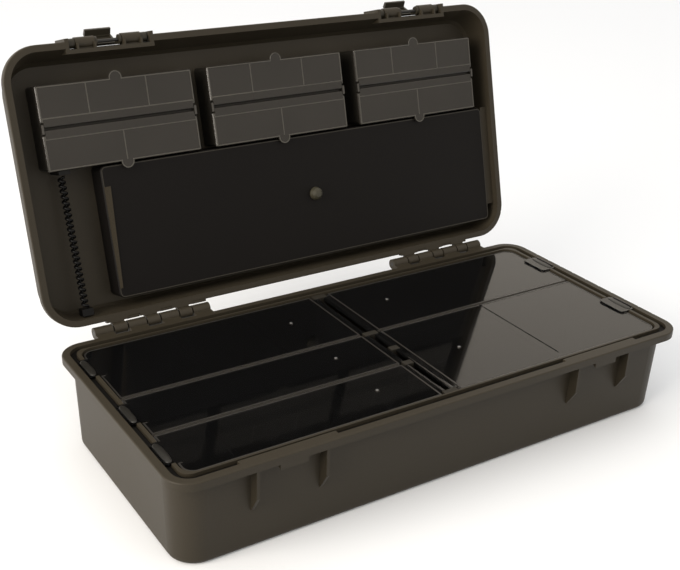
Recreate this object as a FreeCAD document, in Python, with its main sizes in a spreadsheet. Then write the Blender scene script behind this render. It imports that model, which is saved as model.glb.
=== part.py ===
"""Fishing tackle cabinet: a tub with five smoked covers and a deep hinged lid that carries small boxes.

Millimetres. +X runs to the right, -Y to the front and +Z up. The origin lies on the ground under the
middle of the tub. The lid's pieces are drawn in the lid's own frame, with the hinge axis as its X axis,
-Y towards the latches and +Z towards the lid's outer side, and then turned open about that axis.
"""
import FreeCAD, Part

import math
import os

import Sketcher
from FreeCAD import Placement, Rotation, Vector

os.makedirs("parts", exist_ok=True)

SIZES = {
    # tub
    "tub_length": 400.0,
    "tub_width": 188.4,
    "tub_height": 65.3,
    "tub_corner": 17.0,
    "flange_thick": 5.5,
    "flange_round": 0.9,
    "flange_end": 4.2,
    "flange_side": 7.7,
    "body_corner": 19.0,
    "draft_inset": 1.6,
    "tub_wall": 2.6,
    "floor_thick": 2.6,
    "foot_round": 4.0,
    "mouth_end": 12.2,
    "mouth_side": 11.2,
    "mouth_corner": 9.0,
    # seal channel and seal
    "channel_inset": 5.4,
    "channel_width": 4.4,
    "channel_depth": 3.2,
    "channel_thin": 1.3,
    "channel_fill": 65.8,
    "seal_height": 0.9,
    "seal_play": 0.2,
    # catches and gussets on the front
    "gusset_spread": 23.6,
    "gusset_thick": 2.0,
    "gusset_setback": 0.7,
    "gusset_straight": 19.5,
    "gusset_drop": 31.2,
    "gusset_sink": 1.4,
    "wedge_width": 19.0,
    "wedge_drop": 3.7,
    "wedge_depth": 5.5,
    # relief cuts
    "foot_cut_length": 20.6,
    "foot_cut_height": 2.4,
    "foot_cut_depth": 6.0,
    "edge_cut_width": 2.0,
    "edge_cut_depth": 1.0,
    # main hinge
    "hinge_reach": 7.8,
    "axis_drop": 0.3,
    "knuckle_round": 4.0,
    "pin_round": 1.5,
    "pin_fit": 0.05,
    "tub_knuckle": 13.2,
    "lid_knuckle": 9.5,
    "knuckle_play": 1.05,
    "arm_sink": 1.0,
    "arm_flare": 3.2,
    "flare_gap": 0.7,
    # inner walls of the tub
    "spine_half": 1.4,
    "divider_half": 0.9,
    "divider_gap": 0.7,
    "wall_play": 0.15,
    "partition_half": 0.7,
    "partition_drop": 3.0,
    # covers
    "cover_drop": 1.3,
    "cover_thick": 1.8,
    "cover_play": 0.4,
    "cover_corner": 2.0,
    "cover_bevel": 1.0,
    "groove_half": 0.5,
    "groove_depth": 0.6,
    "groove_end": 8.0,
    "cover_start": 7.0,
    "cover_axis": 3.6,
    "cover_axis_drop": 1.6,
    "barrel_round": 1.6,
    "cover_pin": 0.8,
    "lug_half": 2.5,
    "lug_reach": 5.4,
    "lug_play": 0.35,
    "clip_width": 24.0,
    "clip_inside": 6.4,
    "clip_thick": 1.6,
    "clip_lift": 1.2,
    "clip_round": 3.0,
    "clip_end_play": 0.5,
    "clip_lip": 0.9,
    "clip_side_play": 0.5,
    "clip_notch_drop": 2.3,
    "gate_round": 2.0,
    "gate_tip": 0.8,
    "gate_height": 0.3,
    # lid shell, in the lid's frame
    "lid_back": 6.0,
    "lid_corner": 25.0,
    "rim_gap": 1.3,
    "rim_thick": 5.0,
    "lid_height": 25.2,
    "lid_top_thick": 2.7,
    "lid_side_in": 2.4,
    "lid_front_in": 1.9,
    "lid_slope_side": 1.4,
    "lid_slope_front": 8.0,
    "lid_slope_back": 3.0,
    "lid_wall": 2.6,
    "lid_round": 5.0,
    "rim_round": 0.9,
    "open_angle": 105.3,
    # latch pockets in the lid
    "pocket_half": 28.6,
    "pocket_cheek": 2.7,
    "pocket_room": 4.0,
    "pocket_bead": 2.7,
    "pocket_depth": 17.5,
    "pocket_roof": 2.0,
    "roof_front": 1.0,
    "latch_set": 1.2,
    "latch_axis_depth": 7.0,
    "latch_pin": 1.2,
    "latch_barrel": 3.9,
    "barrel_from": 9.7,
    "barrel_to": 23.2,
    "web_half": 2.4,
    "barrel_rib": 1.4,
    # latches
    "latch_half": 27.6,
    "ear_from": 23.6,
    "tongue_half": 9.3,
    "latch_arm": 1.6,
    "latch_boss": 3.3,
    "latch_front": 6.1,
    "latch_plate": 1.8,
    "plate_top": 4.6,
    "plate_low": 9.0,
    "tongue_frame": 1.6,
    "tongue_recess": 0.9,
    "hook_gap": 0.7,
    "hook_length": 4.3,
    "hook_thick": 2.8,
    "latch_rest": 150.0,
    # small boxes in the lid
    "box_margin": 20.0,
    "box_gap": 12.0,
    "box_inset": 25.9,
    "box_width": 56.0,
    "box_front": 5.2,
    "box_wall": 1.5,
    "box_spine_half": 3.2,
    "box_corner": 2.5,
    "box_partition_half": 0.6,
    "half_lid_front": 2.8,
    "half_lid_thick": 2.0,
    "half_lid_bevel": 0.6,
    "half_lid_axis": 1.9,
    "half_lid_axis_depth": 3.6,
    "half_lid_barrel": 1.2,
    "half_lid_leaf": 2.0,
    "half_lid_overhang": 0.2,
    "box_lug_length": 1.6,
    "box_lug_play": 0.35,
    "box_pin": 0.6,
    "box_pin_length": 4.6,
    "tab_round": 4.6,
    "tab_thick": 1.4,
    # rig board, its ledge, knob and strip
    "board_left_inset": 56.0,
    "board_right_inset": 12.0,
    "board_low": 18.6,
    "board_gap": 1.3,
    "board_front": 5.5,
    "board_thick": 2.4,
    "board_skirt": 1.8,
    "board_corner": 4.0,
    "board_bevel": 0.6,
    "ledge_play": 0.4,
    "ledge_drop": 1.0,
    "ledge_sink": 1.8,
    "knob_round": 5.0,
    "knob_height": 5.0,
    "knob_play": 0.35,
    "knob_shaft": 2.0,
    "knob_collar": 3.6,
    "knob_collar_thick": 1.6,
    "strip_inset": 1.0,
    "strip_wide": 4.4,
    "strip_narrow": 1.8,
    "strip_low_end": 7.4,
    "strip_high_end": 14.2,
    "strip_thick": 0.8,
    # rig spring
    "spring_inset": 31.0,
    "spring_low": 17.0,
    "spring_high_gap": 3.0,
    "spring_depth": 8.5,
    "spring_round": 2.3,
    "spring_wire": 1.8,
    "spring_least_gap": 0.4,
    "anchor_width": 8.0,
    "anchor_length": 2.6,
    "anchor_rise": 4.0,
    "anchor_play": 0.3,
}
SHARES = {
    # places along the tub, as shares of its length
    "latch_place_share": 0.31025,
    "hinge_place_share": 0.204,
    # places of the inner walls, as shares of half the tub's length or width
    "back_outer_share": 0.6,
    "back_inner_share": 0.31,
    "front_outer_share": 0.76,
    "front_inner_share": 0.31,
    "right_wall_share": 0.4875,
    "back_divider_share": 0.1274,
    "front_divider_share": -0.3769,
    "middle_lug_share": -0.1476,
    # places of the covers' clips and gate marks and of the relief cuts
    "clip_left_back_share": 0.6104,
    "clip_left_middle_share": -0.0849,
    "clip_left_front_share": -0.6051,
    "clip_right_back_share": 0.4883,
    "clip_right_front_share": -0.4246,
    "gate_across_share": 0.2204,
    "gate_left_back_share": 0.5467,
    "foot_cut_share": 0.4724,
    "edge_cut_first_share": 0.7006,
    "edge_cut_pitch_share": 0.1494,
    # shapes, and the knob's place up the board
    "knob_share": 0.517,
    "box_partition_share": 0.192,
    "low_slope_share": 0.96,
    "arm_slope_share": 0.8,
    "lid_bend_share": 0.3,
    "boss_corner_share": 0.7,
    "hook_tip_share": 0.33,
}
KNOB_SHARES = [(0.5, 0.93), (0.85, 0.66), (1.0, 0.3)]
SPRING_TURNS = 17
QUARTER_SHARE = 0.25

doc = FreeCAD.newDocument("TackleCabinet")
sheet = doc.addObject("Spreadsheet::Sheet", "sizes")
for row, (name, size) in enumerate([*SIZES.items(), *SHARES.items()], start=1):
    sheet.set("A%d" % row, name)
    sheet.set("B%d" % row, repr(size))
    sheet.setAlias("B%d" % row, name)
doc.recompute()


class Size:
    """A size that carries both its number and its expression in the sheet."""

    def __init__(self, number, text):
        self.number = number
        self.text = text

    def __add__(self, other):
        other = sized(other)
        return Size(self.number + other.number, "(%s + %s)" % (self.text, other.text))

    def __radd__(self, other):
        return sized(other) + self

    def __sub__(self, other):
        other = sized(other)
        return Size(self.number - other.number, "(%s - %s)" % (self.text, other.text))

    def __rsub__(self, other):
        return sized(other) - self

    def __mul__(self, factor):
        factor = sized(factor)
        return Size(self.number * factor.number, "(%s * %s)" % (self.text, factor.text))

    def __rmul__(self, factor):
        return self * factor

    def __truediv__(self, other):
        other = sized(other)
        return Size(self.number / other.number, "(%s / %s)" % (self.text, other.text))

    def __neg__(self):
        return Size(-self.number, "(0 - %s)" % self.text)


def sized(value):
    return value if isinstance(value, Size) else Size(float(value), repr(float(value)))


class Sheet:
    """The cells of the sheet by name."""

    def __getattr__(self, name):
        return Size(float(sheet.get(name)), "sizes." + name)


s = Sheet()
failures = []
cuts = []
pieces = []


def body(name):
    piece = doc.addObject("PartDesign::Body", name)
    piece.Label = name
    pieces.append(piece)
    return piece


def plane_of(piece, role):
    return [item for item in piece.Origin.OriginFeatures if item.Role == role][0]


def bind(target, path, value):
    target.setExpression(path, sized(value).text)


def new_sketch(piece, role, offset):
    """A sketch on one of the body's own planes, moved along its normal by offset."""
    sketch = piece.newObject("Sketcher::SketchObject", "Sketch")
    sketch.AttachmentSupport = [(plane_of(piece, role), "")]
    sketch.MapMode = "FlatFace"
    offset = sized(offset)
    sketch.AttachmentOffset = Placement(Vector(0, 0, offset.number), Rotation())
    if offset.number:
        bind(sketch, "AttachmentOffset.Base.z", offset)
    return sketch


def tie(sketch, item, end, across, up):
    """Holds one end of a line or arc at a named place."""
    for kind, value, axis in (("DistanceX", sized(across), -2), ("DistanceY", sized(up), -1)):
        if abs(value.number) < 1e-9:
            sketch.addConstraint(Sketcher.Constraint("PointOnObject", item, end, axis))
        else:
            index = sketch.addConstraint(Sketcher.Constraint(kind, -1, 1, item, end, value.number))
            bind(sketch, "Constraints[%d]" % index, value)


def point(pair):
    return Vector(sized(pair[0]).number, sized(pair[1]).number, 0)


def outline(sketch, places):
    """A closed outline of straight lines."""
    first = sketch.GeometryCount
    count = len(places)
    for index in range(count):
        start = point(places[index])
        end = point(places[(index + 1) % count])
        sketch.addGeometry(Part.LineSegment(start, end), False)
    joins = [
        Sketcher.Constraint("Coincident", first + index, 2, first + (index + 1) % count, 1)
        for index in range(count)
    ]
    sketch.addConstraint(joins)
    for index in range(count):
        tie(sketch, first + index, 1, places[index][0], places[index][1])


def rounded(sketch, left, right, low, high, corner):
    """A rectangle with four round corners."""
    first = sketch.GeometryCount
    left, right, low, high, corner = (sized(value) for value in (left, right, low, high, corner))
    lines = [
        ((left + corner, low), (right - corner, low)),
        ((right, low + corner), (right, high - corner)),
        ((right - corner, high), (left + corner, high)),
        ((left, high - corner), (left, low + corner)),
    ]
    middles = [
        (right - corner, low + corner, 270),
        (right - corner, high - corner, 0),
        (left + corner, high - corner, 90),
        (left + corner, low + corner, 180),
    ]
    for start, end in lines:
        sketch.addGeometry(Part.LineSegment(point(start), point(end)), False)
    for across, up, turn in middles:
        circle = Part.Circle(point((across, up)), Vector(0, 0, 1), corner.number)
        start = math.radians(turn)
        sketch.addGeometry(Part.ArcOfCircle(circle, start, start + math.pi / 2), False)
    for index in range(4):
        arc = first + 4 + index
        sketch.addConstraint(
            [
                Sketcher.Constraint("Coincident", first + index, 2, arc, 1),
                Sketcher.Constraint("Coincident", arc, 2, first + (index + 1) % 4, 1),
            ]
        )
    for index, (start, end) in enumerate(lines):
        tie(sketch, first + index, 1, start[0], start[1])
        tie(sketch, first + index, 2, end[0], end[1])
    for index in range(4):
        constraint = Sketcher.Constraint("Radius", first + 4 + index, corner.number)
        bind(sketch, "Constraints[%d]" % sketch.addConstraint(constraint), corner)


def extrude(piece, kind, sketch, length, backward=False, taper=None, name=None):
    """A pad or pocket that runs from its sketch along the plane's normal, or backward."""
    feature = piece.newObject("PartDesign::" + kind, name or kind)
    feature.Profile = sketch
    length = sized(length)
    feature.Length = length.number
    bind(feature, "Length", length)
    feature.Reversed = backward if kind == "Pad" else not backward
    if taper is not None:
        feature.setExpression("TaperAngle", taper)
    if kind == "Pocket":
        cuts.append(feature)
    return feature


def block(piece, left, right, front, back, low, high, cut=False):
    """A straight block between named limits."""
    kind = "PartDesign::SubtractiveBox" if cut else "PartDesign::AdditiveBox"
    feature = piece.newObject(kind, "Block")
    left, right, front, back, low, high = (
        sized(value) for value in (left, right, front, back, low, high)
    )
    feature.Length = (right - left).number
    feature.Width = (back - front).number
    feature.Height = (high - low).number
    bind(feature, "Length", right - left)
    bind(feature, "Width", back - front)
    bind(feature, "Height", high - low)
    feature.Placement = Placement(Vector(left.number, front.number, low.number), Rotation())
    bind(feature, "Placement.Base.x", left)
    bind(feature, "Placement.Base.y", front)
    bind(feature, "Placement.Base.z", low)
    if cut:
        cuts.append(feature)
    return feature


def rod(piece, axis, across, along, up, radius, length, cut=False):
    """A round bar or bore that starts at a named place and runs along X, Y or Z."""
    kind = "PartDesign::SubtractiveCylinder" if cut else "PartDesign::AdditiveCylinder"
    feature = piece.newObject(kind, "Rod")
    radius, length = sized(radius), sized(length)
    turns = {
        "X": Rotation(Vector(0, 1, 0), 90),
        "Y": Rotation(Vector(1, 0, 0), -90),
        "Z": Rotation(),
    }
    across, along, up = sized(across), sized(along), sized(up)
    feature.Radius = radius.number
    feature.Height = length.number
    feature.Placement = Placement(Vector(across.number, along.number, up.number), turns[axis])
    bind(feature, "Radius", radius)
    bind(feature, "Height", length)
    bind(feature, "Placement.Base.x", across)
    bind(feature, "Placement.Base.y", along)
    bind(feature, "Placement.Base.z", up)
    if cut:
        cuts.append(feature)
    return feature


def cone(piece, across, along, up, radius, tip, height):
    """A low cone without its point, standing on a named place."""
    feature = piece.newObject("PartDesign::AdditiveCone", "Cone")
    for path, value in (
        ("Radius1", radius),
        ("Radius2", tip),
        ("Height", height),
        ("Placement.Base.x", across),
        ("Placement.Base.y", along),
        ("Placement.Base.z", up),
    ):
        bind(feature, path, value)
    return feature


def side_profile(piece, left, width, places, kind="Pad", name=None):
    """An outline in Y and Z that runs along X from left over width."""
    sketch = new_sketch(piece, "YZ_Plane", left)
    outline(sketch, places)
    return extrude(piece, kind, sketch, width, name=name)


def front_profile(piece, front, width, places):
    """An outline in X and Z that runs towards the back from front over width."""
    sketch = new_sketch(piece, "XZ_Plane", -sized(front))
    outline(sketch, places)
    return extrude(piece, "Pad", sketch, width, backward=True)


def mirrored(piece, features, role="YZ_Plane"):
    doc.recompute()
    feature = piece.newObject("PartDesign::Mirrored", "Mirrored")
    feature.Originals = features
    feature.MirrorPlane = (plane_of(piece, role), [""])
    piece.Tip = feature
    return feature


def row_of(piece, features, role, length, count, backward=False):
    """Equal copies along the normal of one of the body's planes; length spans first to last."""
    doc.recompute()
    feature = piece.newObject("PartDesign::LinearPattern", "Row")
    feature.Originals = features
    feature.Direction = (plane_of(piece, role), [""])
    length = sized(length)
    feature.Length = length.number
    bind(feature, "Length", length)
    feature.Occurrences = count
    feature.Reversed = backward
    piece.Tip = feature
    return feature


def dress(piece, kind, size, wanted):
    """Rounds or bevels the edges of the body's last feature that the test picks."""
    doc.recompute()
    base = piece.Tip
    edges = [
        "Edge%d" % (index + 1)
        for index, edge in enumerate(base.Shape.Edges)
        if wanted(edge)
    ]
    if not edges:
        failures.append("no edges to dress on " + piece.Label)
        return None
    feature = piece.newObject("PartDesign::" + kind, kind)
    feature.Base = (base, edges)
    bind(feature, "Radius" if kind == "Fillet" else "Size", size)
    return feature


def fillet(piece, radius, wanted):
    return dress(piece, "Fillet", radius, wanted)


def bevel(piece, size, wanted):
    return dress(piece, "Chamfer", size, wanted)


def near(value, goal):
    return abs(value - sized(goal).number) < 1e-4


def level_at(goal):
    """Picks the edges that lie flat at one height."""
    return lambda edge: near(edge.BoundBox.ZMin, goal) and near(edge.BoundBox.ZMax, goal)


def turn_open(piece):
    """Sets a piece of the lid at the lid's open place."""
    back, height = axis_back, axis_height
    piece.Placement = Placement(
        Vector(0, back.number, height.number), Rotation(Vector(1, 0, 0), -s.open_angle.number)
    )
    bind(piece, "Placement.Base.y", back)
    bind(piece, "Placement.Base.z", height)


# named places that several pieces share
flange_under = s.tub_height - s.flange_thick
half_length = s.tub_length / 2
half_width = s.tub_width / 2
body_half_length = half_length - s.flange_end
body_half_width = half_width - s.flange_side
inner_half_length = body_half_length - s.tub_wall
inner_half_width = body_half_width - s.tub_wall
mouth_half_length = half_length - s.mouth_end
mouth_half_width = half_width - s.mouth_side
axis_back = half_width + s.hinge_reach
axis_height = s.tub_height - s.axis_drop
latch_place = s.tub_length * s.latch_place_share
hinge_inner = s.tub_length * s.hinge_place_share
back_divider = half_width * s.back_divider_share
front_divider = half_width * s.front_divider_share
cover_top = s.tub_height - s.cover_drop
cover_under = cover_top - s.cover_thick
divider_top = cover_under - s.divider_gap
draft_angle = "atan(sizes.draft_inset / (sizes.tub_height - sizes.flange_thick))"
channel_floor = s.tub_height - s.channel_depth
channel_half_length = half_length - s.channel_inset
channel_half_width = half_width - s.channel_inset
hinge_length = s.tub_knuckle * 4 + s.lid_knuckle * 3 + s.knuckle_play * 6
knuckle_pitch = s.tub_knuckle + s.lid_knuckle + s.knuckle_play * 2
spine_top = flange_under - s.wall_play
clip_top = cover_top + s.clip_lift
clip_under = clip_top - s.clip_thick
clip_end = channel_half_length - s.clip_end_play


def drafted(half, height):
    """Half of the tub's inner length or width at a height, with the walls' draft."""
    return half - s.draft_inset * ((flange_under - height) / flange_under)


# the tub
tub = body("tub_shell")
sketch = new_sketch(tub, "XY_Plane", flange_under)
rounded(sketch, -body_half_length, body_half_length, -body_half_width, body_half_width, s.body_corner)
outer = extrude(tub, "Pad", sketch, flange_under, backward=True, taper="-" + draft_angle, name="Outer")
fillet(tub, s.foot_round, level_at(0))
sketch = new_sketch(tub, "XY_Plane", flange_under)
rounded(sketch, -half_length, half_length, -half_width, half_width, s.tub_corner)
extrude(tub, "Pad", sketch, s.flange_thick, name="Flange")
fillet(tub, s.flange_round, level_at(s.tub_height))
sketch = new_sketch(tub, "XY_Plane", flange_under)
rounded(
    sketch,
    -inner_half_length,
    inner_half_length,
    -inner_half_width,
    inner_half_width,
    s.body_corner - s.tub_wall,
)
cavity_depth = flange_under - s.floor_thick
extrude(tub, "Pocket", sketch, cavity_depth, backward=True, taper="-" + draft_angle, name="Cavity")
sketch = new_sketch(tub, "XY_Plane", flange_under)
rounded(
    sketch,
    -mouth_half_length,
    mouth_half_length,
    -mouth_half_width,
    mouth_half_width,
    s.mouth_corner,
)
extrude(tub, "Pocket", sketch, s.flange_thick, name="Mouth")
sketch = new_sketch(tub, "XY_Plane", channel_floor)
channel_corner = s.tub_corner - s.channel_inset
rounded(
    sketch,
    -channel_half_length,
    channel_half_length,
    -channel_half_width,
    channel_half_width,
    channel_corner,
)
rounded(
    sketch,
    -(channel_half_length - s.channel_width),
    channel_half_length - s.channel_width,
    -(channel_half_width - s.channel_width),
    channel_half_width - s.channel_width,
    channel_corner - s.channel_width,
)
extrude(tub, "Pocket", sketch, s.channel_depth, name="Channel")
# the channel's outer part is filled where the latches stand
fill_back = channel_half_width - (s.channel_width - s.channel_thin)
filled = block(
    tub,
    latch_place - s.channel_fill / 2,
    latch_place + s.channel_fill / 2,
    -channel_half_width,
    -fill_back,
    channel_floor,
    s.tub_height,
)
gusset_out = half_width - s.gusset_setback
gusset_points = [
    (-gusset_out, flange_under),
    (-gusset_out, flange_under - s.gusset_straight),
    (-body_half_width, flange_under - s.gusset_drop),
    (-body_half_width + s.gusset_sink, flange_under - s.gusset_drop),
    (-body_half_width + s.gusset_sink, flange_under),
]
gussets = [
    side_profile(
        tub,
        latch_place + s.gusset_spread * side - s.gusset_thick / 2,
        s.gusset_thick,
        gusset_points,
        name="Gusset",
    )
    for side in (-1, 1)
]
wedge = side_profile(
    tub,
    latch_place - s.wedge_width / 2,
    s.wedge_width,
    [
        (-half_width, flange_under),
        (-half_width, flange_under - s.wedge_drop),
        (-half_width + s.wedge_depth, flange_under),
    ],
    name="Wedge",
)


def knuckle(piece, left, width, places, radius, across=0, up=0):
    """A hinge knuckle: an arm with a round end about the hinge axis."""
    sketch = new_sketch(piece, "YZ_Plane", left)
    radius = sized(radius)
    count = len(places)
    for index in range(count - 1):
        sketch.addGeometry(Part.LineSegment(point(places[index]), point(places[index + 1])), False)
    centre = point((across, up))
    start = point(places[-1])
    end = point(places[0])
    begin = math.atan2(start.y - centre.y, start.x - centre.x)
    stop = math.atan2(end.y - centre.y, end.x - centre.x)
    circle = Part.Circle(centre, Vector(0, 0, 1), radius.number)
    if stop < begin:
        stop += 2 * math.pi
    sketch.addGeometry(Part.ArcOfCircle(circle, begin, stop), False)
    arc = count - 1
    joins = [Sketcher.Constraint("Coincident", index, 2, index + 1, 1) for index in range(count - 2)]
    joins.append(Sketcher.Constraint("Coincident", count - 2, 2, arc, 1))
    joins.append(Sketcher.Constraint("Coincident", arc, 2, 0, 1))
    sketch.addConstraint(joins)
    tie(sketch, arc, 3, across, up)
    index = sketch.addConstraint(Sketcher.Constraint("Radius", arc, radius.number))
    bind(sketch, "Constraints[%d]" % index, radius)
    for index in range(1, count - 1):
        tie(sketch, index, 1, places[index][0], places[index][1])
    for item, end_index, place in ((0, 1, places[0]), (count - 2, 2, places[-1])):
        height = sized(place[1])
        number = sketch.addConstraint(
            Sketcher.Constraint("DistanceY", -1, 1, item, end_index, height.number)
        )
        bind(sketch, "Constraints[%d]" % number, height)
    return extrude(piece, "Pad", sketch, width, name="Knuckle")


def root(value):
    """The square root of a size's square."""
    return Size(math.sqrt(value.number), "sqrt(%s)" % value.text)


arm_front = half_width - s.arm_sink
slope_drop = s.knuckle_round * s.low_slope_share
low_slope = axis_height - slope_drop
low_back = axis_back - root(s.knuckle_round * s.knuckle_round - slope_drop * slope_drop)
top_rise = s.tub_height - axis_height
top_back = axis_back - root(s.knuckle_round * s.knuckle_round - top_rise * top_rise)
mirrored(tub, [filled, gussets[0], gussets[1], wedge])
for start, backward in ((hinge_inner, False), (-hinge_inner - s.tub_knuckle, True)):
    first_knuckle = knuckle(
        tub,
        start,
        s.tub_knuckle,
        [
            (top_back, s.tub_height),
            (arm_front, s.tub_height),
            (arm_front, flange_under),
            (low_back, low_slope),
        ],
        s.knuckle_round,
        axis_back,
        axis_height,
    )
    row_of(tub, [first_knuckle], "YZ_Plane", knuckle_pitch * 3, 4, backward=backward)
rod(tub, "X", -half_length, axis_back, axis_height, s.pin_round, s.tub_length, cut=True)
# relief cuts at the foot of the short sides and small ones along the right edge of the flange
cut_in = body_half_length - s.draft_inset - s.foot_cut_depth
foot_cut_place = half_width * s.foot_cut_share
for place in (-foot_cut_place, foot_cut_place):
    for side in (-1, 1):
        edge = cut_in if side > 0 else -half_length
        far = half_length if side > 0 else -cut_in
        block(
            tub,
            edge,
            far,
            place - s.foot_cut_length / 2,
            place + s.foot_cut_length / 2,
            0,
            s.foot_cut_height,
            cut=True,
        )
edge_cut_first = half_width * s.edge_cut_first_share
edge_cut = block(
    tub,
    half_length - s.edge_cut_depth,
    half_length + s.edge_cut_depth,
    -edge_cut_first,
    -edge_cut_first + s.edge_cut_width,
    s.tub_height - s.edge_cut_width,
    s.tub_height + s.edge_cut_width,
    cut=True,
)
row_of(tub, [edge_cut], "XZ_Plane", half_width * s.edge_cut_pitch_share * 9, 10, backward=True)
# notches in the inner bead for the covers' clips
clip_left_back = half_width * s.clip_left_back_share
clip_left_middle = half_width * s.clip_left_middle_share
clip_left_front = half_width * s.clip_left_front_share
clip_right_back = half_width * s.clip_right_back_share
clip_right_front = half_width * s.clip_right_front_share
clip_rows = [
    (-1, clip_left_back),
    (-1, clip_left_middle),
    (-1, clip_left_front),
    (1, clip_right_back),
    (1, clip_right_front),
]
bead_out = channel_half_length - s.channel_width
for side, place in clip_rows:
    notch_in = mouth_half_length - s.cover_thick
    notch_out = bead_out + s.seal_play
    block(
        tub,
        notch_in if side > 0 else -notch_out,
        notch_out if side > 0 else -notch_in,
        place - s.clip_width / 2 - s.clip_side_play,
        place + s.clip_width / 2 + s.clip_side_play,
        s.tub_height - s.clip_notch_drop,
        s.tub_height + s.clip_notch_drop,
        cut=True,
    )

# seal ring in the channel
seal = body("rim_seal")
sketch = new_sketch(seal, "XY_Plane", channel_floor)
seal_out_x = channel_half_length - s.seal_play
seal_out_y = channel_half_width - s.seal_play
seal_in_x = channel_half_length - s.channel_width + s.seal_play
seal_in_y = channel_half_width - s.channel_width + s.seal_play
rounded(sketch, -seal_out_x, seal_out_x, -seal_out_y, seal_out_y, channel_corner - s.seal_play)
rounded(
    sketch,
    -seal_in_x,
    seal_in_x,
    -seal_in_y,
    seal_in_y,
    channel_corner - s.channel_width + s.seal_play,
)
extrude(seal, "Pad", sketch, s.seal_height)
for side in (-1, 1):
    block(
        seal,
        latch_place * side - s.channel_fill / 2 - s.seal_play,
        latch_place * side + s.channel_fill / 2 + s.seal_play,
        -half_width,
        -fill_back + s.seal_play,
        0,
        s.tub_height,
        cut=True,
    )

# hinge pins of the lid
for name, start in (
    ("hinge_pin_left", -hinge_inner - hinge_length),
    ("hinge_pin_right", hinge_inner),
):
    pin = body(name)
    rod(pin, "X", start, axis_back, axis_height, s.pin_round, hinge_length)

# walls inside the tub
axis_level = cover_top - s.cover_axis_drop
spine = body("centre_spine")
floor_reach = drafted(inner_half_width, s.floor_thick) - s.wall_play
top_reach = drafted(inner_half_width, spine_top) - s.wall_play
side_profile(
    spine,
    -s.spine_half,
    s.spine_half * 2,
    [
        (-floor_reach, s.floor_thick),
        (floor_reach, s.floor_thick),
        (top_reach, spine_top),
        (-top_reach, spine_top),
    ],
)
end_lug = mouth_half_width - s.wall_play - s.lug_half * 2
lug_rows = [-end_lug - s.lug_half, back_divider, end_lug + s.lug_half]
lug_root = s.lug_half
for place in lug_rows:
    front_profile(
        spine,
        place - s.lug_half,
        s.lug_half * 2,
        [
            (-s.lug_reach, axis_level - s.barrel_round),
            (-s.spine_half, spine_top - lug_root),
            (s.spine_half, spine_top - lug_root),
            (s.lug_reach, axis_level - s.barrel_round),
            (s.lug_reach, cover_top),
            (-s.lug_reach, cover_top),
        ],
    )
middle_lug = half_width * s.middle_lug_share
for side, place in ((-1, front_divider), (1, middle_lug)):
    front_profile(
        spine,
        place - s.lug_half,
        s.lug_half * 2,
        [
            (s.spine_half * -side, spine_top - lug_root),
            (s.spine_half * side, spine_top - lug_root),
            (s.lug_reach * side, axis_level - s.barrel_round),
            (s.lug_reach * side, cover_top),
            (s.spine_half * -side, cover_top),
        ],
    )
pin_reach = mouth_half_width - s.wall_play
for side in (-1, 1):
    rod(
        spine,
        "Y",
        s.cover_axis * side,
        -half_width,
        axis_level,
        s.cover_pin,
        s.tub_width,
        cut=True,
    )
for name, side in (("cover_pin_left", -1), ("cover_pin_right", 1)):
    pin = body(name)
    rod(pin, "Y", s.cover_axis * side, -pin_reach, axis_level, s.cover_pin, pin_reach * 2)


def cross_divider(name, side, place):
    """A wall from the centre spine to the tub's end wall."""
    wall = body(name)
    inner = (s.spine_half + s.wall_play) * side
    floor_end = (drafted(inner_half_length, s.floor_thick) - s.wall_play) * side
    top_end = (mouth_half_length - s.wall_play) * side
    under_end = (drafted(inner_half_length, flange_under) - s.wall_play) * side
    lip_under = flange_under - s.wall_play
    places = [
        (inner, s.floor_thick),
        (floor_end, s.floor_thick),
        (under_end, lip_under),
        (top_end, lip_under),
        (top_end, divider_top),
        (inner + (s.lug_reach + s.wall_play) * side, divider_top),
        (inner + (s.lug_reach + s.wall_play) * side, spine_top - lug_root - s.wall_play * 2),
        (inner, spine_top - lug_root - s.wall_play * 2),
    ]
    front_profile(wall, place - s.divider_half, s.divider_half * 2, places)
    return wall


cross_divider("divider_left_back", -1, back_divider)
cross_divider("divider_left_front", -1, front_divider)
cross_divider("divider_right", 1, back_divider)

partition_top = divider_top - s.partition_drop
wall_low = drafted(inner_half_width, s.floor_thick) - s.wall_play
wall_top = drafted(inner_half_width, partition_top) - s.wall_play


def partition(name, place, divider, side):
    """A small wall from a cross divider to the front (side -1) or back (side 1) wall of the tub."""
    wall = body(name)
    near_end = divider + (s.divider_half + s.wall_play) * side
    side_profile(
        wall,
        place - s.partition_half,
        s.partition_half * 2,
        [
            (near_end, s.floor_thick),
            (wall_low * side, s.floor_thick),
            (wall_top * side, partition_top),
            (near_end, partition_top),
        ],
    )


partition("partition_back_outer", -half_length * s.back_outer_share, back_divider, 1)
partition("partition_back_inner", -half_length * s.back_inner_share, back_divider, 1)
partition("partition_front_outer", -half_length * s.front_outer_share, front_divider, -1)
partition("partition_front_inner", -half_length * s.front_inner_share, front_divider, -1)
right_wall = half_length * s.right_wall_share
partition("partition_right", right_wall, back_divider, -1)

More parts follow.
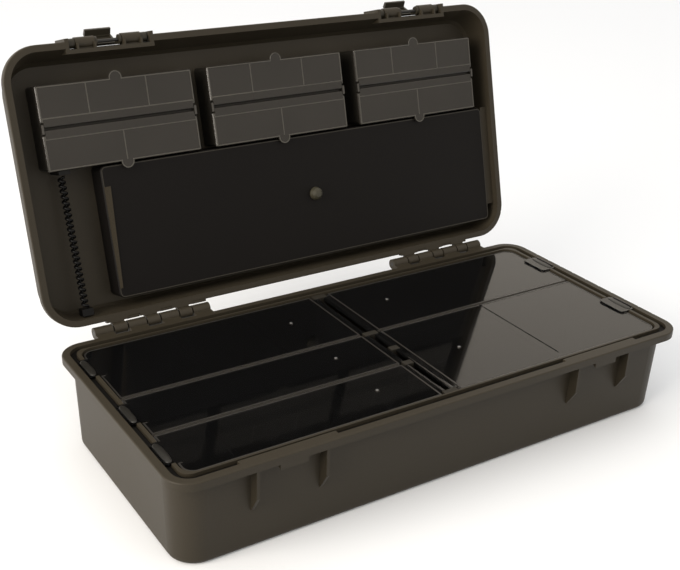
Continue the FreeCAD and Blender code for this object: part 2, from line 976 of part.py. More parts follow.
# covers
def cover(name, side, front, back, lugs, clip, gates, grooves=()):
    """A smoked cover: plate, hinge leaves with barrels between the lugs, and an end clip."""
    plate = body(name)
    far = (mouth_half_length - s.cover_play) * side
    start = s.cover_start * side
    left, right = (start, far) if side > 0 else (far, start)
    block(plate, left, right, front, back, cover_under, cover_top)
    doc.recompute()

    def upright(edge):
        box = edge.BoundBox
        return near(box.ZLength, s.cover_thick) and near(box.XLength, 0) and near(box.YLength, 0)

    def at_mouth(edge):
        box = edge.BoundBox
        return upright(edge) and near(box.XMin, far) and near(abs(box.YMin), back_edge)

    def elsewhere(edge):
        return upright(edge) and not at_mouth(edge)

    small_edges = [edge for edge in plate.Tip.Shape.Edges if at_mouth(edge)]
    fillet(plate, s.cover_corner, elsewhere)
    if small_edges:
        fillet(plate, s.mouth_corner - s.cover_play, at_mouth)
    bevel(plate, s.cover_bevel, level_at(cover_top))
    for low, high in lugs:
        leaf_in = s.cover_axis * side
        leaf_out = (s.cover_start + s.cover_corner) * side
        block(
            plate,
            leaf_in if side > 0 else leaf_out,
            leaf_out if side > 0 else leaf_in,
            low,
            high,
            cover_under,
            cover_top - s.gate_height,
        )
        rod(plate, "Y", leaf_in, low, axis_level, s.barrel_round, high - low)
    rod(
        plate,
        "Y",
        s.cover_axis * side,
        -half_width,
        axis_level,
        s.cover_pin + s.pin_fit,
        s.tub_width,
        cut=True,
    )
    clip_root = (mouth_half_length - s.cover_play - s.clip_inside) * side
    clip_tip = clip_end * side
    left, right = (clip_root, clip_tip) if side > 0 else (clip_tip, clip_root)
    sketch = new_sketch(plate, "XY_Plane", clip_under)
    rounded(sketch, left, right, clip - s.clip_width / 2, clip + s.clip_width / 2, s.clip_round)
    extrude(plate, "Pad", sketch, s.clip_thick, name="Clip")
    lip_in = (clip_end - s.clip_lip) * side
    block(
        plate,
        lip_in if side > 0 else clip_tip,
        clip_tip if side > 0 else lip_in,
        clip - s.clip_width / 2 + s.clip_round,
        clip + s.clip_width / 2 - s.clip_round,
        clip_under,
        clip_top + s.clip_lip,
    )
    for across, along in gates:
        cone(
            plate,
            across,
            along,
            cover_top - s.gate_height,
            s.gate_round,
            s.gate_tip,
            s.gate_height * 3,
        )
    for across in grooves:
        block(
            plate,
            across - s.groove_half,
            across + s.groove_half,
            front + s.groove_end,
            back,
            cover_top - s.groove_depth,
            cover_top + s.groove_depth,
            cut=True,
        )
    return plate


back_edge = mouth_half_width - s.cover_play
split_back = back_divider + s.cover_play / 2
split_front = back_divider - s.cover_play / 2
split_low_back = front_divider + s.cover_play / 2
split_low_front = front_divider - s.cover_play / 2
lug_clear = s.lug_half + s.lug_play
back_lug_low = end_lug - s.lug_play
gate_across = half_width * s.gate_across_share * 2
gate_back = half_width * s.gate_left_back_share
cover(
    "cover_left_back",
    -1,
    split_back,
    back_edge,
    [(back_divider + lug_clear, back_lug_low)],
    clip_left_back,
    [(-gate_across, gate_back)],
)
cover(
    "cover_left_middle",
    -1,
    split_low_back,
    split_front,
    [(front_divider + lug_clear, back_divider - lug_clear)],
    clip_left_middle,
    [(-gate_across, clip_left_middle)],
)
cover(
    "cover_left_front",
    -1,
    -back_edge,
    split_low_front,
    [(-back_lug_low, front_divider - lug_clear)],
    clip_left_front,
    [(-gate_across, clip_left_front)],
)
cover(
    "cover_right_back",
    1,
    split_back,
    back_edge,
    [(back_divider + lug_clear, back_lug_low)],
    clip_right_back,
    [(gate_across, gate_back)],
)
cover(
    "cover_right_front",
    1,
    -back_edge,
    split_front,
    [
        (-back_lug_low, middle_lug - lug_clear),
        (middle_lug + lug_clear, back_divider - lug_clear),
    ],
    clip_right_front,
    [(gate_across, front_divider)],
    [right_wall],
)

# lid shell
lid_half = half_length
lid_front = s.lid_back + s.tub_width
latch_axis = lid_front - s.latch_set
pocket_back = latch_axis - s.pocket_room
lid_outer_top = s.rim_gap + s.lid_height
lid_floor = lid_outer_top - s.lid_top_thick
wall_half = lid_half - s.lid_side_in
wall_front = lid_front - s.lid_front_in
wall_back = s.lid_back + s.lid_front_in

lid = body("lid_shell")


def loft(piece, kind, levels, name):
    """A loft through rounded outlines at rising heights."""
    sections = []
    for height, (left, right, front, back, corner) in levels:
        sketch = new_sketch(piece, "XY_Plane", height)
        rounded(sketch, left, right, front, back, corner)
        sections.append(sketch)
    feature = piece.newObject("PartDesign::" + kind, name)
    feature.Profile = sections[0]
    feature.Sections = sections[1:]
    feature.Ruled = True
    if kind == "SubtractiveLoft":
        cuts.append(feature)
    return feature


def lid_outline(inset, height_share):
    """The lid's wall outline, inset from its outer face, at a share of its height."""
    inset = sized(inset)
    half = wall_half - inset - s.lid_slope_side * height_share
    front = wall_front - inset - s.lid_slope_front * height_share
    back = wall_back + inset + s.lid_slope_back * height_share
    return (-half, half, -front, -back, s.lid_corner - s.lid_side_in - inset)


shoulder = lid_outer_top - s.lid_round
shoulder_share = (s.lid_height - s.lid_round) / s.lid_height
hollow_share = (lid_floor - s.lid_top_thick - s.rim_gap) / s.lid_height


loft(
    lid,
    "AdditiveLoft",
    [
        (s.rim_gap, lid_outline(0, 0)),
        (shoulder, lid_outline(0, shoulder_share)),
        (lid_outer_top - s.lid_round * s.lid_bend_share, lid_outline(s.lid_round * s.lid_bend_share, 1)),
        (lid_outer_top, lid_outline(s.lid_round, 1)),
    ],
    "Wall",
)
sketch = new_sketch(lid, "XY_Plane", s.rim_gap)
rounded(sketch, -lid_half, lid_half, -lid_front, -s.lid_back, s.lid_corner)
extrude(lid, "Pad", sketch, s.rim_thick, name="Rim")
fillet(lid, s.rim_round, level_at(s.rim_gap))
pocket_end = s.rim_gap + s.pocket_depth
loft(
    lid,
    "SubtractiveLoft",
    [
        (s.rim_gap, lid_outline(s.lid_wall, 0)),
        (lid_floor - s.lid_top_thick, lid_outline(s.lid_wall, hollow_share)),
        (lid_floor, lid_outline(s.lid_wall + s.lid_top_thick * s.lid_bend_share, 1)),
    ],
    "Hollow",
)
# the latch pockets: a solid block with raised cheeks, hollowed from the front
for side in (-1, 1):
    block(
        lid,
        latch_place * side - s.pocket_half - s.pocket_cheek,
        latch_place * side + s.pocket_half + s.pocket_cheek,
        -(pocket_back + s.roof_front),
        -(pocket_back - s.pocket_bead),
        s.rim_gap,
        pocket_end + s.pocket_roof,
    )
    for hand in (-1, 1):
        cheek_in = latch_place * side + s.pocket_half * hand
        cheek_out = cheek_in + s.pocket_cheek * hand
        block(
            lid,
            cheek_in if hand > 0 else cheek_out,
            cheek_out if hand > 0 else cheek_in,
            -(latch_axis + s.latch_boss),
            -(pocket_back - s.pocket_bead),
            s.rim_gap,
            pocket_end + s.pocket_roof,
        )
    block(
        lid,
        latch_place * side - s.pocket_half,
        latch_place * side + s.pocket_half,
        -(latch_axis + s.latch_front),
        -pocket_back,
        s.rim_gap - s.rim_round,
        pocket_end,
        cut=True,
    )
    for hand in (-1, 1):
        inner = latch_place * side + s.barrel_from * hand
        outer_end = latch_place * side + s.barrel_to * hand
        left, right = (inner, outer_end) if hand > 0 else (outer_end, inner)
        rod(lid, "X", left, -latch_axis, s.latch_axis_depth, s.latch_barrel, right - left)
        block(
            lid,
            left,
            right,
            -latch_axis,
            -(pocket_back - s.pocket_bead / 2),
            s.latch_axis_depth - s.web_half,
            s.latch_axis_depth + s.web_half,
        )
        for rib in (left, right - s.barrel_rib):
            block(
                lid,
                rib,
                rib + s.barrel_rib,
                -latch_axis,
                -(pocket_back - s.pocket_bead / 2),
                s.rim_gap,
                s.latch_axis_depth,
            )
rod(lid, "X", -lid_half, -latch_axis, s.latch_axis_depth, s.latch_pin, s.tub_length, cut=True)
rise = s.rim_gap
rim_top = s.rim_gap + s.rim_thick
lid_arm = s.lid_back + s.arm_sink
arm_meet = root(s.knuckle_round * s.knuckle_round - rise * rise)
arm_top = s.knuckle_round * s.arm_slope_share
arm_top_back = root(s.knuckle_round * s.knuckle_round - arm_top * arm_top)
first_arm = hinge_inner + s.tub_knuckle + s.knuckle_play
for side in (-1, 1):
    first = knuckle(
        lid,
        first_arm if side > 0 else -first_arm - s.lid_knuckle,
        s.lid_knuckle,
        [
            (-arm_top_back, arm_top),
            (-lid_arm, rim_top),
            (-lid_arm, rise),
            (-arm_meet, rise),
        ],
        s.knuckle_round,
    )
    row_of(lid, [first], "YZ_Plane", knuckle_pitch * 2, 3, backward=side < 0)
    for number in range(3):
        arm_low = first_arm + knuckle_pitch * number
        arm_far = arm_low + s.lid_knuckle + s.arm_flare
        arm_near = arm_low - s.arm_flare
        block(
            lid,
            arm_near if side > 0 else -arm_far,
            arm_far if side > 0 else -arm_near,
            -lid_arm,
            -(s.knuckle_round + s.flare_gap),
            rise,
            rim_top - s.rim_round,
        )
rod(lid, "X", -half_length, 0, 0, s.pin_round + s.pin_fit, s.tub_length, cut=True)
# three boxes side by side under the lid's front wall, and the board below them
box_length = (s.tub_length - s.box_margin * 2 - s.box_gap * 2) / 3
box_pitch = box_length + s.box_gap
box_high = lid_front - s.box_inset
box_low = box_high - s.box_width
box_middle = box_high - s.box_width / 2
# the ledge that fills the lid between the board and the right wall
board_left = -(half_length - s.board_left_inset)
board_right = half_length - s.board_right_inset
board_high = box_low - s.board_gap
ledge_in = board_right + s.ledge_play
ledge_out = wall_half - s.ledge_sink
front_profile(
    lid,
    -board_high,
    board_high - s.lid_back - s.lid_corner,
    [
        (ledge_in, s.board_front + s.ledge_drop),
        (ledge_out, s.board_front + s.ledge_drop),
        (ledge_out - s.lid_slope_side, lid_floor),
        (ledge_in, lid_floor),
    ],
)
turn_open(lid)

# latches
hook_top = axis_height - flange_under + s.wedge_drop + s.hook_gap
hook_low = hook_top + s.hook_thick
for name, side in (("left", -1), ("right", 1)):
    latch = body("latch_" + name)
    middle = latch_place * side
    # drawn latched, with the pin as its X axis, then folded back to its rest
    face = -s.latch_front
    inner_face = face + s.latch_plate
    tip = inner_face + s.hook_length
    deep = s.latch_axis_depth
    side_profile(
        latch,
        -s.tongue_half,
        s.tongue_half * 2,
        [
            (face, -s.plate_top),
            (face, -deep - hook_top),
            (inner_face, -deep - hook_low),
            (tip, -deep - hook_low + s.hook_thick * s.hook_tip_share),
            (tip, -deep - hook_top),
            (inner_face, -deep - hook_top),
            (inner_face, -s.plate_top),
        ],
        name="Tongue",
    )
    block(latch, -s.latch_half, s.latch_half, face, inner_face, -s.plate_low, -s.plate_top)
    arm_points = [
        (0, s.latch_boss),
        (-s.latch_boss * s.boss_corner_share, s.latch_boss * s.boss_corner_share),
        (face, -s.plate_top),
        (face, -s.plate_low),
        (inner_face, -s.plate_low),
        (inner_face, -s.plate_top),
        (0, -s.latch_boss),
    ]
    for hand in (-1, 1):
        for arm_in, arm_out in (
            (s.ear_from, s.latch_half),
            (s.tongue_half - s.latch_arm, s.tongue_half),
        ):
            left = arm_in if hand > 0 else -arm_out
            side_profile(latch, left, arm_out - arm_in, arm_points, name="Arm")
            rod(latch, "X", left, 0, 0, s.latch_boss, arm_out - arm_in)
    block(
        latch,
        -(s.tongue_half - s.tongue_frame),
        s.tongue_half - s.tongue_frame,
        inner_face - s.tongue_recess,
        inner_face + s.tongue_recess,
        -deep - hook_top + s.tongue_frame,
        -s.plate_top - s.tongue_frame,
        cut=True,
    )
    rod(
        latch,
        "X",
        -lid_half,
        0,
        0,
        s.latch_pin + s.pin_fit,
        s.tub_length,
        cut=True,
    )
    total = math.radians(s.open_angle.number)
    axis_y = axis_back.number - latch_axis.number * math.cos(total)
    axis_y += s.latch_axis_depth.number * math.sin(total)
    axis_z = axis_height.number + latch_axis.number * math.sin(total)
    axis_z += s.latch_axis_depth.number * math.cos(total)
    latch.Placement = Placement(
        Vector(middle.number, axis_y, axis_z),
        Rotation(Vector(1, 0, 0), -s.open_angle.number - s.latch_rest.number),
    )
    bind(latch, "Placement.Base.x", middle)
    latch.setExpression(
        "Placement.Base.y",
        "%s - %s * cos(sizes.open_angle * 1 deg)"
        " + sizes.latch_axis_depth * sin(sizes.open_angle * 1 deg)" % (axis_back.text, latch_axis.text),
    )
    latch.setExpression(
        "Placement.Base.z",
        "%s + %s * sin(sizes.open_angle * 1 deg)"
        " + sizes.latch_axis_depth * cos(sizes.open_angle * 1 deg)" % (axis_height.text, latch_axis.text),
    )
    pin = body("latch_pin_" + name)
    rod(
        pin,
        "X",
        middle - s.pocket_half,
        -latch_axis,
        s.latch_axis_depth,
        s.latch_pin,
        s.pocket_half * 2,
    )
    turn_open(pin)

# small boxes in the lid
box_partition = box_length * s.box_partition_share
half_box = box_length / 2
lid_front_face = s.half_lid_front
lid_back_face = s.half_lid_front + s.half_lid_thick
lug_in = half_box - s.box_lug_length
for name, column in (("left", -1), ("middle", 0), ("right", 1)):
    middle = box_pitch * column
    tray = body("box_tray_" + name)
    sketch = new_sketch(tray, "XY_Plane", s.box_front)
    rounded(sketch, middle - half_box, middle + half_box, -box_high, -box_low, s.box_corner)
    extrude(tray, "Pad", sketch, lid_floor - s.box_front, name="Tray")
    for front, back in (
        (-(box_high - s.box_wall), -(box_middle + s.box_spine_half)),
        (-(box_middle - s.box_spine_half), -(box_low + s.box_wall)),
    ):
        sketch = new_sketch(tray, "XY_Plane", s.box_front)
        rounded(
            sketch,
            middle - half_box + s.box_wall,
            middle + half_box - s.box_wall,
            front,
            back,
            s.box_corner - s.box_wall,
        )
        extrude(tray, "Pocket", sketch, lid_floor - s.box_front - s.box_wall, name="Bay")
    for place in (-box_partition, box_partition):
        block(
            tray,
            middle + place - s.box_partition_half,
            middle + place + s.box_partition_half,
            -(box_high - s.box_wall),
            -(box_middle + s.box_spine_half),
            s.box_front,
            lid_floor - s.box_wall,
        )
    block(
        tray,
        middle - s.box_partition_half,
        middle + s.box_partition_half,
        -(box_middle - s.box_spine_half),
        -(box_low + s.box_wall),
        s.box_front,
        lid_floor - s.box_wall,
    )
    lug_half_up = s.half_lid_axis + s.half_lid_barrel
    for hand in (-1, 1):
        edge = half_box * hand
        inner = lug_in * hand
        left, right = (inner, edge) if hand > 0 else (edge, inner)
        block(
            tray,
            middle + left,
            middle + right,
            -(box_middle + lug_half_up),
            -(box_middle - lug_half_up),
            s.half_lid_axis_depth - s.half_lid_barrel,
            s.box_front + s.box_wall,
        )
    for up in (-1, 1):
        rod(
            tray,
            "X",
            middle - half_box,
            -(box_middle + s.half_lid_axis * up),
            s.half_lid_axis_depth,
            s.box_pin,
            box_length,
            cut=True,
        )
    turn_open(tray)
    for level, up in (("upper", 1), ("lower", -1)):
        half = body("box_lid_%s_%s" % (name, level))
        axis = -(box_middle + s.half_lid_axis * up)
        near_edge = axis - s.half_lid_leaf * up
        far_edge = -(box_middle + (s.box_width / 2 + s.half_lid_overhang) * up)
        front, back = (far_edge, near_edge) if up > 0 else (near_edge, far_edge)
        sketch = new_sketch(half, "XY_Plane", lid_front_face)
        rounded(sketch, middle - half_box, middle + half_box, front, back, s.box_corner / 2)
        extrude(half, "Pad", sketch, s.half_lid_thick, name="Plate")
        bevel(half, s.half_lid_bevel, level_at(lid_front_face))
        leaf_half = lug_in - s.box_lug_play
        leaf_far = near_edge - s.box_corner * up
        block(
            half,
            middle - leaf_half,
            middle + leaf_half,
            leaf_far if up > 0 else axis,
            axis if up > 0 else leaf_far,
            s.half_lid_axis_depth - s.half_lid_barrel,
            s.half_lid_axis_depth + s.half_lid_barrel,
        )
        rod(half, "X", middle - leaf_half, axis, s.half_lid_axis_depth, s.half_lid_barrel, leaf_half * 2)
        rod(
            half,
            "X",
            middle - half_box,
            axis,
            s.half_lid_axis_depth,
            s.box_pin + s.pin_fit,
            box_length,
            cut=True,
        )
        rod(half, "Z", middle, far_edge, lid_front_face, s.tab_round, s.tab_thick)
        turn_open(half)

pin_group = []
for column in (-1, 0, 1):
    for up in (-1, 1):
        for hand in (-1, 1):
            pin = doc.addObject("Part::Cylinder", "BoxPin")
            pin_length = s.box_pin_length
            start = box_pitch * column + half_box * hand
            if hand > 0:
                start = start - pin_length
            bind(pin, "Radius", s.box_pin)
            bind(pin, "Height", pin_length)
            place = Vector(
                start.number,
                -(box_middle + s.half_lid_axis * up).number,
                s.half_lid_axis_depth.number,
            )
            pin.Placement = Placement(place, Rotation(Vector(0, 1, 0), 90))
            bind(pin, "Placement.Base.x", start)
            bind(pin, "Placement.Base.y", -(box_middle + s.half_lid_axis * up))
            bind(pin, "Placement.Base.z", s.half_lid_axis_depth)
            pin_group.append(pin)
pins = doc.addObject("Part::Compound", "box_hinge_pins")
pins.Label = "box_hinge_pins"
pins.Links = pin_group
turn_open(pins)
pieces.append(pins)

# rig board, knob and strip
board = body("rig_board")
sketch = new_sketch(board, "XY_Plane", s.board_front)
rounded(sketch, board_left, board_right, -board_high, -s.board_low, s.board_corner)
extrude(board, "Pad", sketch, lid_floor - s.board_front, name="Board")
bevel(board, s.board_bevel, level_at(s.board_front))
knob_across = (board_left + board_right) / 2
knob_up = s.board_low + (board_high - s.board_low) * s.knob_share
sketch = new_sketch(board, "XY_Plane", s.board_front + s.board_thick)
rounded(
    sketch,
    board_left + s.board_skirt,
    board_right - s.board_skirt,
    -(board_high - s.board_skirt),
    -(s.board_low + s.board_skirt),
    s.board_corner - s.board_skirt,
)
extrude(board, "Pocket", sketch, lid_floor - s.board_front, name="Under")
rod(
    board,
    "Z",
    knob_across,
    -knob_up,
    0,
    s.knob_shaft + s.pin_fit,
    lid_floor,
    cut=True,
)
turn_open(board)

knob = body("board_knob")
knob_top = s.board_front - s.knob_play
sketch = new_sketch(knob, "XZ_Plane", 0)
outline(
    sketch,
    [
        (0, knob_top - s.knob_height),
        *[(s.knob_round * out, knob_top - s.knob_height * up) for out, up in KNOB_SHARES],
        (s.knob_round, knob_top),
        (s.knob_shaft, knob_top),
        (s.knob_shaft, s.board_front + s.board_thick + s.knob_play + s.knob_collar_thick),
        (0, s.board_front + s.board_thick + s.knob_play + s.knob_collar_thick),
    ],
)
turned = knob.newObject("PartDesign::Revolution", "Turned")
turned.Profile = sketch
turned.ReferenceAxis = (sketch, ["V_Axis"])
turned.Angle = 360
collar_low = s.board_front + s.board_thick + s.knob_play
rod(knob, "Z", 0, 0, collar_low, s.knob_collar, s.knob_collar_thick)
angle = math.radians(s.open_angle.number)
knob.Placement = Placement(
    Vector(
        knob_across.number,
        axis_back.number - knob_up.number * math.cos(angle),
        axis_height.number + knob_up.number * math.sin(angle),
    ),
    Rotation(Vector(1, 0, 0), -s.open_angle.number),
)
bind(knob, "Placement.Base.x", knob_across)
knob.setExpression(
    "Placement.Base.y", "%s - %s * cos(sizes.open_angle * 1 deg)" % (axis_back.text, knob_up.text)
)
knob.setExpression(
    "Placement.Base.z", "%s + %s * sin(sizes.open_angle * 1 deg)" % (axis_height.text, knob_up.text)
)

strip = body("board_edge_strip")
strip_left = board_left + s.strip_inset
strip_low = s.board_low + s.strip_low_end
strip_high = board_high - s.strip_high_end
sketch = new_sketch(strip, "XY_Plane", s.board_front - s.strip_thick)
outline(
    sketch,
    [
        (strip_left, -strip_high),
        (strip_left + s.strip_wide, -strip_high),
        (strip_left + s.strip_narrow, -strip_low),
        (strip_left, -strip_low),
    ],
)
extrude(strip, "Pad", sketch, s.strip_thick)
turn_open(strip)

# rig spring and its anchors
spring_across = -(half_length - s.spring_inset)
spring_high = box_low - s.spring_high_gap
anchor_share = (s.spring_depth + s.anchor_rise - s.rim_gap) / s.lid_height
anchor_seat = wall_back + s.lid_wall + s.lid_slope_back * anchor_share + s.anchor_play
for name, low, high, deep in (
    ("spring_anchor_low", anchor_seat, s.spring_low, s.spring_depth + s.anchor_rise),
    ("spring_anchor_high", spring_high, spring_high + s.anchor_length, lid_floor),
):
    anchor = body(name)
    block(
        anchor,
        spring_across - s.anchor_width / 2,
        spring_across + s.anchor_width / 2,
        -high,
        -low,
        s.spring_depth - s.anchor_rise,
        deep,
    )
    turn_open(anchor)


def biarc(start, heading, end, leaving):
    """Two arcs that leave start along heading and reach end along leaving."""
    heading = Vector(heading).normalize()
    leaving = Vector(leaving).normalize()
    span = end - start
    both = heading + leaving
    a = 2 * heading.dot(leaving) - 2
    b = -2 * span.dot(both)
    c = span.dot(span)
    reach = (-b - math.sqrt(b * b - 4 * a * c)) / (2 * a)
    first = start + heading * reach
    last = end - leaving * reach
    middle = (first + last) * 0.5
    edges = []
    for begin, corner, stop in ((start, first, middle), (middle, last, end)):
        weight = (stop - begin).Length / 2 / reach
        top = (begin + corner * (2 * weight) + stop) * (1 / (2 * (1 + weight)))
        edges.append(Part.Arc(begin, top, stop).toShape())
    return edges


def spring_path():
    """The wire's path: a straight end, the curls and a straight end, in the lid's frame."""
    radius = s.spring_round.number
    wire = s.spring_wire.number
    low = s.spring_low.number
    high = spring_high.number
    centre_x = spring_across.number
    centre_z = s.spring_depth.number
    lead = 2 * wire
    pitch = (high - low - 2 * wire - 2 * lead) / (SPRING_TURNS - 2 * QUARTER_SHARE)

    def place(turn):
        swing = 2 * math.pi * turn
        along = low + wire + lead + pitch * (turn - QUARTER_SHARE)
        return Vector(centre_x + radius * math.cos(swing), -along, centre_z - radius * math.sin(swing))

    def heading(turn):
        swing = 2 * math.pi * turn
        around = 2 * math.pi * radius
        return Vector(-around * math.sin(swing), -pitch, -around * math.cos(swing))

    axial = Vector(0, -1, 0)
    first = Vector(centre_x + radius, -low, centre_z)
    settled = first + axial * wire
    edges = [Part.LineSegment(first, settled).toShape()]
    edges += biarc(settled, axial, place(QUARTER_SHARE), heading(QUARTER_SHARE))
    turn = QUARTER_SHARE
    while turn < SPRING_TURNS - QUARTER_SHARE:
        beyond = turn + QUARTER_SHARE
        edges += biarc(place(turn), heading(turn), place(beyond), heading(beyond))
        turn = beyond
    last = Vector(centre_x + radius, -high, centre_z)
    before = last - axial * wire
    edges += biarc(place(turn), heading(turn), before, axial)
    edges.append(Part.LineSegment(before, last).toShape())
    return edges


path = spring_path()
wire_path = Part.Wire(path)
first_vertex = path[0].Vertexes[0].Point
circle = Part.Wire([Part.makeCircle(s.spring_wire.number / 2, first_vertex, Vector(0, 1, 0))])
spring_solid = wire_path.makePipeShell([circle], True, False)
samples = []
for edge in path:
    count = 6
    for index in range(count):
        samples.append(edge.valueAt(edge.FirstParameter + (edge.LastParameter - edge.FirstParameter) * index / count))
lengths = [0.0]
for index in range(1, len(samples)):
    lengths.append(lengths[-1] + (samples[index] - samples[index - 1]).Length)
apart = min(
    (samples[i] - samples[j]).Length
    for i in range(len(samples))
    for j in range(i + 1, min(i + 120, len(samples)))
    if lengths[j] - lengths[i] > s.spring_wire.number * 4
)
print("rig spring: least gap between curls %.2f mm" % (apart - s.spring_wire.number))
print(
    "rig spring: volume %.1f, section times length %.1f"
    % (spring_solid.Volume, wire_path.Length * math.pi * (s.spring_wire.number / 2) ** 2)
)
if apart - s.spring_wire.number < s.spring_least_gap.number:
    failures.append("the spring's curls lie too close")
spring = doc.addObject("Part::Feature", "rig_spring")
spring.Label = "rig_spring"
spring.Shape = spring_solid
turn_open(spring)
pieces.append(spring)

# checks and files
doc.recompute()
for item in doc.Objects:
    if "Invalid" in item.State or "Error" in item.State:
        failures.append("%s %s of %s" % (item.Name, item.State, item.getParentGeoFeatureGroup()))
for feature in cuts:
    base = feature.BaseFeature
    if base is None or feature.Shape.Volume >= base.Shape.Volume - 1e-6:
        owner = feature.getParentGeoFeatureGroup()
        failures.append("%s of %s cuts nothing" % (feature.Name, owner.Label if owner else "?"))
for piece in pieces:
    shape = piece.Shape
    if shape.isNull() or not shape.isValid() or not shape.Solids:
        failures.append(piece.Label + " is not a valid solid")
    elif len(shape.Solids) != (12 if piece.Label == "box_hinge_pins" else 1):
        failures.append("%s has %d solids" % (piece.Label, len(shape.Solids)))
if failures:
    raise SystemExit("\n".join(failures))
for piece in pieces:
    piece.Shape.exportStep("parts/%s.step" % piece.Label)
print("%d pieces written" % len(pieces))
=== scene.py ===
import math

import bmesh
import bpy
from mathutils import Matrix, Vector


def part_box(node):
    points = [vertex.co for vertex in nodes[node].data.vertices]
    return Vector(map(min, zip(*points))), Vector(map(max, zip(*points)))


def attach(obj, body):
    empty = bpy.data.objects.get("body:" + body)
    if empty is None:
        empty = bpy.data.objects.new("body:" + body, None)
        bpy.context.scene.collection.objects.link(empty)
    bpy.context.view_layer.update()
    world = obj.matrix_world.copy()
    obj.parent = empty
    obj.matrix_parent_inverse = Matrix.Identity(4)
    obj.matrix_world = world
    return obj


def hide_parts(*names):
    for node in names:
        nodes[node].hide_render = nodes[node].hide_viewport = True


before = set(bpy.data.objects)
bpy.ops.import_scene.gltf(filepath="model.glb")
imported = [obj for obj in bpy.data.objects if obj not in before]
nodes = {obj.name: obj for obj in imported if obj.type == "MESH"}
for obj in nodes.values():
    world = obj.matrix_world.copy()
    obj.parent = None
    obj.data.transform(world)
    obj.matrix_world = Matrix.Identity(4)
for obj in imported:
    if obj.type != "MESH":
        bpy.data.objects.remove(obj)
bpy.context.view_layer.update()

# Camera at the photograph's place, in degrees, millimetres of film and metres.
CAMERA_YAW, CAMERA_PITCH, CAMERA_ROLL = 33.13, -26.82, 1.92
CAMERA_PLACE = (-0.39807, -0.54821, 0.41449)
CAMERA_LENS = 58.09
CAMERA_FILM = 36.0
CAMERA_SHIFT = (0.0119, 0.0625)
CAMERA_REACH = (0.01, 50)


def photo_camera():
    yaw, pitch, roll = (math.radians(value) for value in (CAMERA_YAW, CAMERA_PITCH, CAMERA_ROLL))
    right = Vector((math.cos(yaw), -math.sin(yaw), 0))
    look = Vector((
        math.sin(yaw) * math.cos(pitch),
        math.cos(yaw) * math.cos(pitch),
        math.sin(pitch),
    ))
    up = right.cross(look)
    across = right * math.cos(roll) + up * math.sin(roll)
    upright = -right * math.sin(roll) + up * math.cos(roll)
    data = bpy.data.cameras.new("photo_camera")
    data.sensor_fit = "HORIZONTAL"
    data.sensor_width = CAMERA_FILM
    data.lens = CAMERA_LENS
    data.shift_x, data.shift_y = CAMERA_SHIFT
    data.clip_start, data.clip_end = CAMERA_REACH
    camera = bpy.data.objects.new("photo_camera", data)
    bpy.context.scene.collection.objects.link(camera)
    place = Matrix((across, upright, -look)).transposed().to_4x4()
    place.translation = Vector(CAMERA_PLACE)
    camera.matrix_world = place
    bpy.context.scene.camera = camera


photo_camera()

# Shared grain of the mouldings. Scales are per metre of the part.
FINE_GRAIN = 2200.0
GRAIN_DETAIL = 2.0
GRAIN_HEIGHT = 0.0002
GRAIN_DEPTH = 0.25
CLOUD_SCALE, CLOUD_DETAIL = 14.0, 5.0
SPECK_FROM, SPECK_TO = (0.3, 0.7), (0.88, 1.12)
GLOSS_CHANGE = 0.08
COLOR, FLOAT, NORMAL = "NodeSocketColor", "NodeSocketFloat", "NodeSocketVector"


def make_group(name, inputs, outputs):
    tree = bpy.data.node_groups.new(name, "ShaderNodeTree")
    for label, kind, value in inputs:
        socket = tree.interface.new_socket(name=label, in_out="INPUT", socket_type=kind)
        socket.default_value = value
    for label, kind in outputs:
        tree.interface.new_socket(name=label, in_out="OUTPUT", socket_type=kind)
    entry = tree.nodes.new("NodeGroupInput")
    leave = tree.nodes.new("NodeGroupOutput")
    return tree, entry, leave


def wire(tree, start, end):
    tree.links.new(start, end)


def noise(tree, place, detail):
    item = tree.nodes.new("ShaderNodeTexNoise")
    item.inputs["Detail"].default_value = detail
    wire(tree, place.outputs["Object"], item.inputs["Vector"])
    return item


